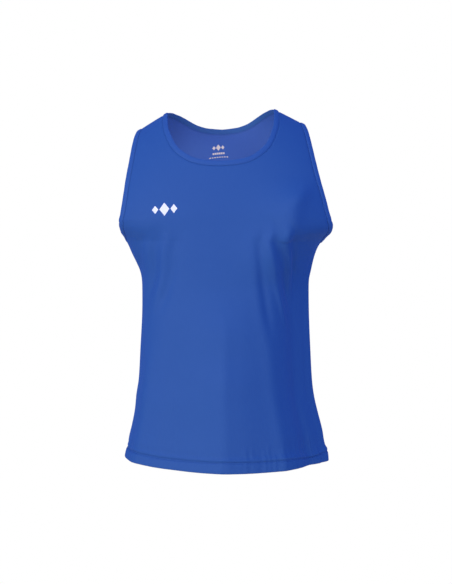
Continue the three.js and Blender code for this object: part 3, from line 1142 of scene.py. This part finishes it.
@dataclass
class Panel:
    """The front or the back: one layer of knit with its bottom edge turned up as a hem.

    The hem's rows are given by their heights above the bottom edge, in millimetres: inner_rows on its
    turned-up layer, fold_rows round its fold, each with its side of the middle, and outer_rows.
    """

    form: Form
    columns: int = 108  # from the centre line to a side seam
    body_rows: int = 100
    chest_rows: int = 40
    strap_rows: int = 44
    inner_rows: tuple[float, ...] = (20.6, 19.6, 18.8, 18.0, 17.2, 16.4, 15.6, 14.5, 12.5, 9.0, 5.0, 1.6)
    fold_rows: tuple[tuple[float, float], ...] = (
        (0.5, -0.9),
        (-0.15, -0.5),
        (-0.35, 0.0),
        (-0.15, 0.5),
        (0.5, 0.9),
    )
    outer_rows: tuple[float, ...] = (
        4.0, 8.0, 11.5, 13.5, 14.7, 15.6, 16.4, 17.2, 18.0, 18.8, 19.6, 20.4, 21.3, 22.4,
    )
    body_start: float = 6.0  # from the hem stitching up to the first row of the body
    flat_cells: tuple[int, int] = (40, 81)  # cells across and up in which lengths on the cloth are found
    flat_start: float = -0.02  # level at which they start, below the bottom edge
    seam_stations: int = 300
    side_stations: int = 400
    shoulder_stations: int = 60

    @property
    def name(self) -> str:
        """The panel's CAD node."""
        return f"{self.form.side.name.lower()}_panel"

    def grid(self) -> tuple[Array, Array, list[tuple[int, ...]]]:
        """Lays out the panel's cells, as the solid's are laid out but finer.

        Returns:
            The turn and level of each point, its layer, and the cells.
        """
        straps = shares_between(self.strap_rows)
        chest = shares_between(self.chest_rows, fine_end=True)
        neck, armhole = self.form.neck_line(straps), self.form.armhole_line(chest, straps)
        across = shares_between(self.columns, fine_start=True, fine_end=True)[:, None]
        rows = Rows()

        def whole_row(middle: Array, side: Array, layer: float = 0.0) -> Array:
            """Adds a row from one side seam or armhole to the other."""
            half = lerp(middle, side, across)
            return rows.add(np.concatenate([mirrored(half[:0:-1]), half]), layer)

        hem = [(height, -HEM_LAYER) for height in self.inner_rows]
        hem += [(height, side * HEM_LAYER) for height, side in self.fold_rows]
        hem += [(height, outer_layer(height)) for height in self.outer_rows]
        body = []
        for height, layer in hem:
            level = height / BODY_HEIGHT
            body.append(whole_row(np.array([0.0, level]), np.array([1.0, level]), layer))
        start = HEM_LEVEL + HEM_DEPTH + self.body_start
        shares = np.concatenate([np.arange(self.body_rows), self.body_rows + self.chest_rows * chest])
        for i, share in enumerate(shares / (self.body_rows + self.chest_rows)):
            level = lerp(level_below(start), level_below(UNDERARM_LEVEL), i / self.body_rows)
            side = np.array([1.0, level]) if i < self.body_rows else armhole[i - self.body_rows]
            height = lerp(start, self.form.neck[0].z, share)
            body.append(whole_row(self.form.locate(np.float64(0), height), side))
        middle = len(across) - 1
        left, right = [body[-1][middle:]], [body[-1][: middle + 1]]
        for neck_end, armhole_end in zip(neck[1:], armhole[-self.strap_rows :]):
            strap = lerp(neck_end, armhole_end, across)
            left.append(rows.add(strap))
            right.append(rows.add(mirrored(strap)[::-1]))
        cells = [cell for block in (body, left, right) for cell in self.cells_of(block)]
        return np.concatenate(rows.places), np.concatenate(rows.layers), cells

    def cells_of(self, rows: list[Array]) -> list[tuple[int, ...]]:
        """Makes the cells between rows, facing out.

        Args:
            rows: the numbers of the places in each row.

        Returns:
            The corners of each cell.
        """
        cells = []
        for low, high in zip(rows, rows[1:]):
            for a, b, c, d in zip(low, low[1:], high[1:], high):
                cell = (int(a), int(b), int(c), int(d))
                cells.append(cell if self.form.side is Side.FRONT else cell[::-1])
        return cells

    def flat_places(self, places: Array) -> Array:
        """Finds where places of the panel lie on the flat cloth.

        Args:
            places: turn and level of each.

        Returns:
            Millimetres across from the centre line, and up.
        """
        cells_across, cells_up = self.flat_cells
        turns = np.linspace(0, 1, cells_across + 1)
        levels = np.linspace(self.flat_start, SHOULDER_LEVEL, cells_up + 1)
        mesh_turn, mesh_level = np.meshgrid(turns, levels, indexing="ij")
        points = self.form.smooth(mesh_turn, mesh_level)
        across = np.cumsum(np.linalg.norm(np.diff(points, axis=0, prepend=points[:1]), axis=2), axis=0)
        up = np.cumsum(np.linalg.norm(np.diff(points, axis=1, prepend=points[:, :1]), axis=2), axis=1)
        i = np.clip(np.abs(places[:, 0]) * cells_across, 0, cells_across - WITHIN)
        j = np.clip((places[:, 1] - levels[0]) / (levels[1] - levels[0]), 0, cells_up - WITHIN)
        row, column = i.astype(int), j.astype(int)
        s, t = i - row, j - column

        def read(table: Array) -> Array:
            """Reads a table between its corners.

            Args:
                table: lengths across or up, by column and row.

            Returns:
                The length at each place.
            """
            low = lerp(table[row, column], table[row + 1, column], s)
            high = lerp(table[row, column + 1], table[row + 1, column + 1], s)
            return lerp(low, high, t)

        return np.stack([read(across) * np.sign(places[:, 0]), read(up)], axis=-1)

    def seam_points(self) -> list[Array]:
        """Finds the panel's own seam lines: neck, armholes, shoulders and sides.

        Returns:
            The points of each line.
        """
        shares = shares_between(self.seam_stations)
        neck = self.form.neck_line(shares)
        armhole = self.form.armhole_line(shares, shares)
        side_levels = np.linspace(0, level_below(UNDERARM_LEVEL), self.side_stations)
        side = np.stack([np.ones_like(side_levels), side_levels], axis=-1)
        shoulder = lerp(neck[-1], armhole[-1], np.linspace(0, 1, self.shoulder_stations)[:, None])
        lines = [neck, armhole, side, shoulder]
        both = [half for line in lines for half in (line, mirrored(line))]
        return [self.form.cloth(line[:, 0], line[:, 1]) for line in both]

    def build(self, face: bpy.types.Material, reverse: bpy.types.Material) -> bpy.types.Object:
        """Makes the panel.

        Args:
            face: material of the outside.
            reverse: material of the inside.

        Returns:
            The finished piece.
        """
        places, layers, cells = self.grid()
        turn, level = places[:, 0], places[:, 1]
        seam = Seam(self.seam_points())
        points = self.form.cloth(turn, level)
        direction = self.form.outward(self.form.smooth, turn, level)
        relief = hem_relief(level * BODY_HEIGHT)
        points += direction * (layers + relief - seam.dip(points) * (layers >= 0))[:, None]
        piece = piece_from(f"{self.form.side.name.lower()}_knit", points, cells, self.flat_places(places))
        thicken(piece, CLOTH, [face, reverse])
        smooth_shading(piece, CLOTH_ANGLE)
        belongs(piece, (self.name,))
        return piece


@dataclass(frozen=True)
class Wave:
    """A slight waviness along a band, in millimetres. length is for one radian, and start in radians."""

    height: float
    length: float
    start: float


@dataclass
class Binding:
    """A band of knit folded double over an opening's edge and sewn along its seam line, in millimetres."""

    name: str
    thickness: float = 0.8
    raw_edge: float = 0.1  # from the seam line to the strip's edges
    layer: float = 0.65  # from the band's middle to the middle of each layer
    crown: float = 0.35  # how far the outer layer rounds up between the seam and the fold
    crown_power: float = 0.7
    sink: float = 0.9  # how far the outer layer is drawn in at the seam
    sink_width: float = 1.4
    inner_sink: float = 0.3  # share of it that draws in the inner layer
    folded_steps: int = 5
    flat_steps: int = 7
    waves: tuple[Wave, ...] = (Wave(0.12, 9.0, 0.0), Wave(0.1, 4.3, 1.0))

    def section(self) -> Array:
        """Returns the folded strip's section from its inner raw edge round the fold to its outer one.

        Returns:
            Rows of reach into the opening and height above the middle, in millimetres.
        """
        reach = np.linspace(self.raw_edge, BAND_WIDTH - self.layer - self.thickness / 2, self.flat_steps)
        bulge = self.crown * np.sin(np.linspace(0, math.pi, self.flat_steps)) ** self.crown_power
        sink = self.sink * np.exp(-((reach / self.sink_width) ** 2))
        outer = np.stack([reach, self.layer + bulge - sink], axis=-1)
        inner = np.stack([reach, -self.layer + self.inner_sink * sink], axis=-1)
        angles = np.linspace(-RIGHT_ANGLE, RIGHT_ANGLE, self.folded_steps + 2)[1:-1]
        fold = np.stack([reach[-1] + self.layer * np.cos(angles), self.layer * np.sin(angles)], axis=-1)
        return np.concatenate([inner, fold, outer[::-1]])

    def build(
        self, points: Array, directions: Array, face: bpy.types.Material, reverse: bpy.types.Material
    ) -> bpy.types.Object:
        """Makes the band.

        Args:
            points: stations of its closed seam line, with the opening on its left as seen from outside.
            directions: the cloth's outward direction at each station.
            face: material of the outside.
            reverse: material of the strip's wrong side, between its layers.

        Returns:
            The finished piece.
        """
        along = np.roll(points, -1, axis=0) - np.roll(points, 1, axis=0)
        inwards = unit(np.cross(directions, along))
        lengths, section = lengths_along(points), self.section()
        stations, around = len(points), len(section)
        waves = sum(wave.height * np.sin(lengths / wave.length + wave.start) for wave in self.waves)
        reach, height = section[None, :, :1], section[None, :, 1:]
        raised = height + waves[:, None, None] * (reach / BAND_WIDTH)
        places = points[:, None] + inwards[:, None] * reach + directions[:, None] * raised
        strip = lengths_along(section)
        uv = np.stack(np.broadcast_arrays(strip[None, :], lengths[:, None]), axis=-1)
        cells = []
        for i in range(stations):
            here, ahead = i * around, (i + 1) % stations * around
            cells += [(here + j, here + j + 1, ahead + j + 1, ahead + j) for j in range(around - 1)]
        piece = piece_from(f"{self.name}_knit", places.reshape(-1, 3), cells, uv.reshape(-1, 2))
        thicken(piece, self.thickness, [face, reverse])
        smooth_shading(piece, CLOTH_ANGLE)
        belongs(piece, (self.name,))
        return piece


def loop_stations(front: Array, back: Array) -> tuple[Array, Array]:
    """Joins seam lines of both panels to one loop.

    Args:
        front: the front's stations, from one end to the other.
        back: the back's stations with the same ends.

    Returns:
        The points and outward directions of the loop.
    """
    points, directions = [], []
    for form, line in ((FRONT_FORM, front), (BACK_FORM, back)):
        turn, level = line[:, 0], line[:, 1]
        points.append(form.cloth(turn, level))
        directions.append(form.outward(form.cloth, turn, level))
    seam = unit(directions[0][[0, -1]] + directions[1][[0, -1]])
    directions[0][[0, -1]] = seam
    joined = (np.concatenate([way[0], way[1][1:-1][::-1]]) for way in (points, directions))
    return tuple(joined)


@dataclass
class Bindings:
    """The neck band and the two armhole bands."""

    neck_stations: int = 110
    armhole_stations: tuple[int, int] = (34, 62)

    def build(self, face: bpy.types.Material, reverse: bpy.types.Material) -> list[bpy.types.Object]:
        """Makes the three bands.

        Args:
            face: material of the outside.
            reverse: material of the strips' wrong side.

        Returns:
            The finished pieces.
        """
        pieces = []
        neck = shares_between(self.neck_stations)
        lines = [form.neck_line(neck) for form in (FRONT_FORM, BACK_FORM)]
        across = [np.concatenate([mirrored(line[:0:-1]), line]) for line in lines]
        pieces.append(Binding("neck_band").build(*loop_stations(*across), face, reverse))
        chest, strap = (shares_between(count) for count in self.armhole_stations)
        lines = [form.armhole_line(chest, strap) for form in (FRONT_FORM, BACK_FORM)]
        down = [line[::-1] for line in lines]
        up = [mirrored(line) for line in lines]
        pieces.append(Binding("armhole_band_left").build(*loop_stations(*down), face, reverse))
        pieces.append(Binding("armhole_band_right").build(*loop_stations(*up), face, reverse))
        return pieces


@dataclass
class HemStitching:
    """Two needle rows of a cover seam round the hem, one short stitch after another."""

    heights: tuple[float, float] = (15.6, 18.8)  # above the bottom edge, in millimetres
    pitch: float = 2.9
    length: float = 2.3
    width: float = 0.55
    flatness: float = 0.8  # a stitch's height as a share of its width
    lift: float = 0.12
    end_turn: float = 0.995  # where the rows stop, just short of the side seams
    fine_steps: int = 1200

    def stitch(self) -> tuple[Array, list[tuple[int, ...]]]:
        """Models one stitch as a flattened bead.

        Returns:
            Its points in millimetres, and its faces.
        """
        bpy.ops.object.select_all(action="DESELECT")
        bpy.ops.mesh.primitive_uv_sphere_add(segments=6, ring_count=4, radius=0.5)
        bead = bpy.context.object
        bpy.ops.object.mode_set(mode="EDIT")
        bpy.ops.mesh.select_all(action="SELECT")
        bpy.ops.transform.rotate(value=RIGHT_ANGLE, orient_axis="Y", center_override=(0, 0, 0))
        size = (self.length, self.width, self.flatness * self.width)
        bpy.ops.transform.resize(value=size, center_override=(0, 0, 0))
        bpy.ops.object.mode_set(mode="OBJECT")
        points = np.array([vertex.co for vertex in bead.data.vertices], float)
        faces = [tuple(face.vertices) for face in bead.data.polygons]
        bpy.data.objects.remove(bead)
        return points, faces

    def row(self, form: Form, height: float) -> tuple[Array, Array, Array]:
        """Spaces one row of stitches evenly across a panel.

        Args:
            form: the panel's form.
            height: the row's height above the bottom edge, in millimetres.

        Returns:
            The stitches' middles, ways along and outward directions.
        """
        level = height / BODY_HEIGHT
        turn = np.linspace(-self.end_turn, self.end_turn, self.fine_steps)
        lengths = lengths_along(form.cloth(turn, np.full_like(turn, level)))
        count = int(lengths[-1] / self.pitch)
        turns = np.interp((np.arange(count) + 0.5) / count * lengths[-1], lengths, turn)
        levels = np.full_like(turns, level)
        middles = form.cloth(turns, levels)
        along = unit(form.cloth(turns + NUDGE, levels) - form.cloth(turns - NUDGE, levels))
        out = form.outward(form.cloth, turns, levels)
        raised = outer_layer(height) + hem_relief(np.float64(height)) + CLOTH / 2 + self.lift
        return middles + out * raised, along, out

    def build(self, thread: bpy.types.Material) -> bpy.types.Object:
        """Makes both rows all round as one piece.

        Args:
            thread: its material.

        Returns:
            The finished piece.
        """
        bead, faces = self.stitch()
        points, cells = [], []
        for form in (FRONT_FORM, BACK_FORM):
            for height in self.heights:
                for middle, along, out in zip(*self.row(form, height)):
                    side = np.cross(out, along)
                    start = len(points) * len(bead)
                    points.append(middle + bead @ np.stack([along, side, out]))
                    cells += [tuple(corner + start for corner in face) for face in faces]
        piece = piece_from("hem_stitching", np.concatenate(points), cells)
        piece.data.materials.append(thread)
        smooth_shading(piece, ROUND_ANGLE)
        belongs(piece)
        return piece


@dataclass(frozen=True)
class Mark:
    """A flat shape of a print: a lozenge or a bar about a place, in millimetres."""

    across: float
    up: float
    width: float
    height: float
    lozenge: bool = False
    steps: int = 8

    def points(self) -> tuple[Array, list[tuple[int, ...]]]:
        """Shapes a grid into the mark.

        Returns:
            Its flat points in millimetres, and its cells.
        """
        bpy.ops.object.select_all(action="DESELECT")
        bpy.ops.mesh.primitive_grid_add(x_subdivisions=self.steps, y_subdivisions=self.steps, size=1.0)
        sheet = bpy.context.object
        bpy.ops.object.mode_set(mode="EDIT")
        bpy.ops.mesh.select_all(action="SELECT")
        if self.lozenge:
            bpy.ops.transform.rotate(value=RIGHT_ANGLE / 2, orient_axis="Z", center_override=(0, 0, 0))
            bpy.ops.transform.resize(value=(math.sqrt(0.5),) * 3, center_override=(0, 0, 0))
        bpy.ops.transform.resize(value=(self.width, self.height, 1.0), center_override=(0, 0, 0))
        bpy.ops.object.mode_set(mode="OBJECT")
        flat = np.array([vertex.co[:2] for vertex in sheet.data.vertices], float)
        cells = [tuple(face.vertices) for face in sheet.data.polygons]
        bpy.data.objects.remove(sheet)
        return flat + (self.across, self.up), cells


@dataclass
class Transfer:
    """A transfer print: a thin film of plain marks, on the face of a panel that looks to the front.

    That is the outside of the front, and the inside of the back. turn and z are the place of its middle,
    and its sizes are in millimetres.
    """

    name: str
    form: Form
    turn: float
    z: float
    marks: tuple[Mark, ...]
    thickness: float = 0.16
    gap: float = 0.02  # between the film and the cloth

    def build(self, film: bpy.types.Material) -> bpy.types.Object:
        """Makes the print.

        Args:
            film: its material.

        Returns:
            The finished piece.
        """
        flat, cells, count = [], [], 0
        for mark in self.marks:
            points, faces = mark.points()
            flat.append(points)
            cells += [tuple(corner + count for corner in face) for face in faces]
            count += len(points)
        flat = np.concatenate(flat)
        turn = np.full(len(flat), self.turn)
        level = self.form.level_at(turn, np.full(len(flat), self.z))
        place = self.form.smooth(turn, level)
        per_turn = np.linalg.norm(self.form.smooth(turn + NUDGE, level) - place, axis=1)
        per_level = np.linalg.norm(self.form.smooth(turn, level + NUDGE) - place, axis=1)
        turn += flat[:, 0] * NUDGE / per_turn
        level += flat[:, 1] * NUDGE / per_level
        out = self.form.outward(self.form.cloth, turn, level)
        lift = -self.form.side.value * (CLOTH / 2 + self.thickness / 2 + self.gap)
        piece = piece_from(self.name, self.form.cloth(turn, level) + out * lift, cells)
        if self.form.side is Side.BACK:
            piece.data.flip_normals()
        thicken(piece, self.thickness, [film])
        smooth_shading(piece, FILM_ANGLE)
        belongs(piece)
        return piece


# ---------------------------------------------------------------- the studio

VEST_MIDDLE = (0.0005, 0.0, -0.336)  # what the camera and the far lights are aimed at, in metres


def aimed(
    data: bpy.types.Camera | bpy.types.Light,
    target: tuple[float, float, float],
    azimuth: float,
    elevation: float,
    distance: float,
) -> bpy.types.Object:
    """Adds a camera or a light that looks at a target.

    Args:
        data: the camera or the light.
        target: what it looks at.
        azimuth: its direction from the target in degrees, 0 in front and negative to the wearer's right.
        elevation: its height from the target in degrees.
        distance: from the target, in metres.

    Returns:
        The new object.
    """
    turn, rise = math.radians(azimuth), math.radians(elevation)
    back = Vector((math.sin(turn) * math.cos(rise), -math.cos(turn) * math.cos(rise), math.sin(rise)))
    thing = bpy.data.objects.new(data.name, data)
    bpy.context.scene.collection.objects.link(thing)
    thing.location = Vector(target) + back * distance
    thing.rotation_euler = (-back).to_track_quat("-Z", "Y").to_euler()
    return thing


@dataclass(frozen=True)
class Lamp:
    """A round soft light aimed at the vest, with its angles in degrees and its sizes in metres."""

    name: str
    azimuth: float
    elevation: float
    power: float
    size: float = 2.6
    distance: float = 6.0
    colour: str = "#fff5e2"
    target: tuple[float, float, float] = VEST_MIDDLE

    def add(self) -> None:
        """Places the light."""
        data = bpy.data.lights.new(self.name, "AREA")
        data.shape = "DISK"
        data.size = self.size
        data.energy = self.power
        data.color = linear(self.colour)[:3]
        aimed(data, self.target, self.azimuth, self.elevation, self.distance)


LAMPS = (
    Lamp("side_light", azimuth=-50, elevation=4, power=138),
    Lamp("upper_light", azimuth=-18, elevation=40, power=87),
    Lamp("right_light", azimuth=16, elevation=2, power=93),
    Lamp("back_light", azimuth=180, elevation=8, power=140),
    Lamp(
        "inside_light",
        azimuth=30,
        elevation=-40,
        power=0.19,
        size=0.12,
        distance=0.2,
        target=(0.0, 0.095, -0.03),
    ),  # stands in the hollow and lights the inside of the back
)


@dataclass
class Studio:
    """A cream floor, a white backdrop, a bluish fill, the camera and the lights.

    The lights stand in front and to the wearer's right, with one behind and a small one in the hollow.
    """

    floor_level: float = -1.3
    floor_size: float = 2.8
    distance: float = 2.25
    azimuth: float = 1.0
    view_height: float = 1.139  # how much of the plane through the vest's middle the view takes in
    sensor: float = 36.0
    farthest: float = 50.0
    fill_strength: float = 0.86
    fill_colour: str = "#568bff"

    def add_camera(self) -> None:
        """Places the camera."""
        data = bpy.data.cameras.new("camera")
        data.sensor_width = self.sensor
        data.lens = self.sensor * self.distance / self.view_height
        data.clip_end = self.farthest
        bpy.context.scene.camera = aimed(data, VEST_MIDDLE, self.azimuth, 0.0, self.distance)

    def add_world(self) -> None:
        """Makes the backdrop, which the camera sees white and which lights the vest with the fill."""
        world = bpy.data.worlds.new("white_backdrop")
        world.use_nodes = True
        world.node_tree.nodes.clear()
        fill_inputs = {0: linear(self.fill_colour), 1: self.fill_strength}
        fill = add_node(world, "ShaderNodeBackground", inputs=fill_inputs)
        white = add_node(world, "ShaderNodeBackground", inputs={0: linear("#ffffff")})
        path = add_node(world, "ShaderNodeLightPath")
        mix_inputs = {0: path.outputs["Is Camera Ray"], 1: fill.outputs[0], 2: white.outputs[0]}
        mix = add_node(world, "ShaderNodeMixShader", inputs=mix_inputs)
        add_node(world, "ShaderNodeOutputWorld", inputs={0: mix.outputs[0]})
        bpy.context.scene.world = world

    def add_floor(self) -> None:
        """Lays the floor."""
        bpy.ops.object.select_all(action="DESELECT")
        bpy.ops.mesh.primitive_grid_add(
            x_subdivisions=4, y_subdivisions=4, size=self.floor_size, location=(0, 0, self.floor_level)
        )
        floor = bpy.context.object
        floor.name = "studio_floor"
        floor.data.materials.append(FloorFinish().make())

    def build(self) -> None:
        """Sets up the studio."""
        self.add_camera()
        for lamp in LAMPS:
            lamp.add()
        self.add_world()
        self.add_floor()
        bpy.context.scene.view_settings.view_transform = "Standard"


# ---------------------------------------------------------------- putting it together


def bars(count: int, pitch: float, up: float, width: float, height: float) -> tuple[Mark, ...]:
    """Spaces a row of short bars evenly about the centre.

    Args:
        count: how many.
        pitch: from one bar's middle to the next.
        up: height of the row.
        width: of each bar.
        height: of each bar.

    Returns:
        The bars.
    """
    return tuple(Mark((i - (count - 1) / 2) * pitch, up, width, height, steps=2) for i in range(count))


CHEST_MARKS = (
    Mark(0, 0, width=19, height=25, lozenge=True),
    Mark(-18, 0, width=13, height=16, lozenge=True),
    Mark(18, 0, width=13, height=16, lozenge=True),
)
NECK_MARKS = (
    Mark(0, 9, width=10, height=13, lozenge=True),
    Mark(-9, 9, width=7, height=8.5, lozenge=True),
    Mark(9, 9, width=7, height=8.5, lozenge=True),
    *bars(6, pitch=4.2, up=-3, width=3.4, height=3.6),
    *bars(8, pitch=5, up=-10.5, width=3.2, height=1.8),
)


def cloth_area(piece: bpy.types.Object) -> float:
    """Returns half the surface of a thin closed shell, which is its cloth, in square metres."""
    return sum(face.area for face in piece.data.polygons) / 2


def main() -> None:
    """Builds the studio and the vest, piece by piece."""
    logging.basicConfig(level=logging.INFO, format="%(name)s: %(message)s")
    Studio().build()
    # each knit's second, darker colour is painted shade in its stitches' hollows
    face = KnitFinish("royal_blue_jersey_face", "#2f5d97", low_colour="#2a548f").make()
    # the reverse is lighter than the face: painted light on the inside of the back, over the knit's own
    # slightly violet reverse colour
    lightened_reverse = KnitFinish("royal_blue_jersey_reverse_painted_light", "#3d61a9", low_colour="#37599f", loop=Loop.REVERSE)
    reverse = lightened_reverse.make()
    band = KnitFinish("royal_blue_band_jersey", "#325e9b", low_colour="#2d5792").make()
    thread = ThreadFinish().make()
    white_film = FilmFinish("white_transfer_film", "#fffbee").make()
    pale_film = FilmFinish("pale_transfer_film", "#dccfc3").make()
    panels = [Panel(form).build(face, reverse) for form in (FRONT_FORM, BACK_FORM)]
    bands = Bindings().build(band, reverse)
    stitching = HemStitching().build(thread)
    chest = Transfer("chest_print", FRONT_FORM, turn=-0.31, z=-181, marks=CHEST_MARKS).build(white_film)
    neck = Transfer("neck_print", BACK_FORM, turn=-0.03, z=-50, marks=NECK_MARKS).build(pale_film)
    FRONT_CUT.declare(panels[0], (stitching, chest))
    BACK_CUT.declare(panels[1], (neck,))
    for piece, cut in zip(bands, (NECK_BAND_CUT, ARMHOLE_BAND_CUT, ARMHOLE_BAND_CUT)):
        cut.declare(piece)
    for piece in [*panels, *bands, stitching, chest, neck]:
        triangles = sum(len(polygon.vertices) - 2 for polygon in piece.data.polygons)
        LOG.info("%s: %d triangles, %.4f m2 of cloth", piece.name, triangles, cloth_area(piece))


if __name__ == "__main__":
    main()
